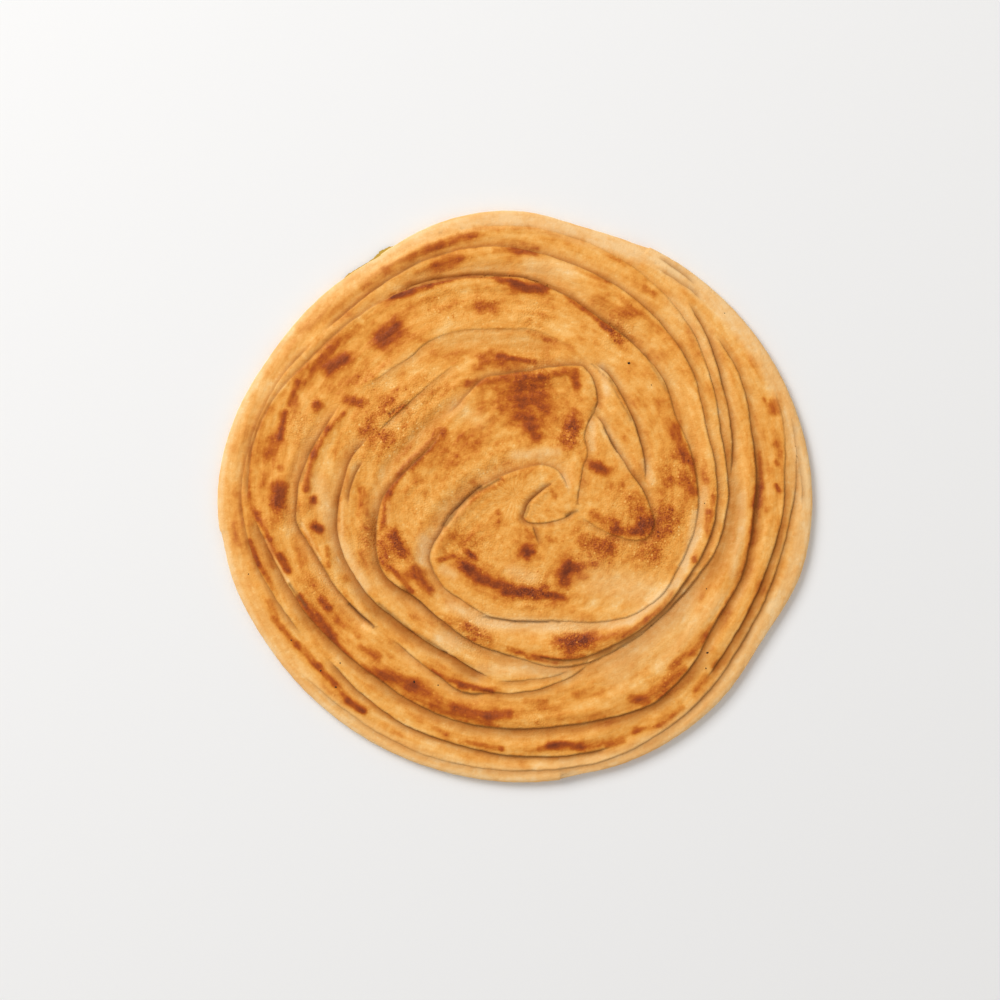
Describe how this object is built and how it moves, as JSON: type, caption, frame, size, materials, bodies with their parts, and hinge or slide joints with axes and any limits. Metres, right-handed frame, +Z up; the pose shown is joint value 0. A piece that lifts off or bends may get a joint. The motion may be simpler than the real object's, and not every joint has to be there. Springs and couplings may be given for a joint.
{
  "type": "paratha flatbread",
  "caption": "Round flaky flatbread pressed from a coil of folded dough, with lapped spiral sheets, a thin pale rim and browned patches, lying flat",
  "frame": {"origin": "the middle of the flat underside, where the bread rests", "axes": "+Z up through the thickness, +X along the longest width, +Y across it"},
  "size_m": [0.175, 0.1686, 0.0075],
  "materials": {
    "baked_dough": "baked dough, golden, with brown toasted patches and a light sheen of fat"
  },
  "bodies": {
    "root": {"paratha": "baked_dough"}
  },
  "joints": []
}
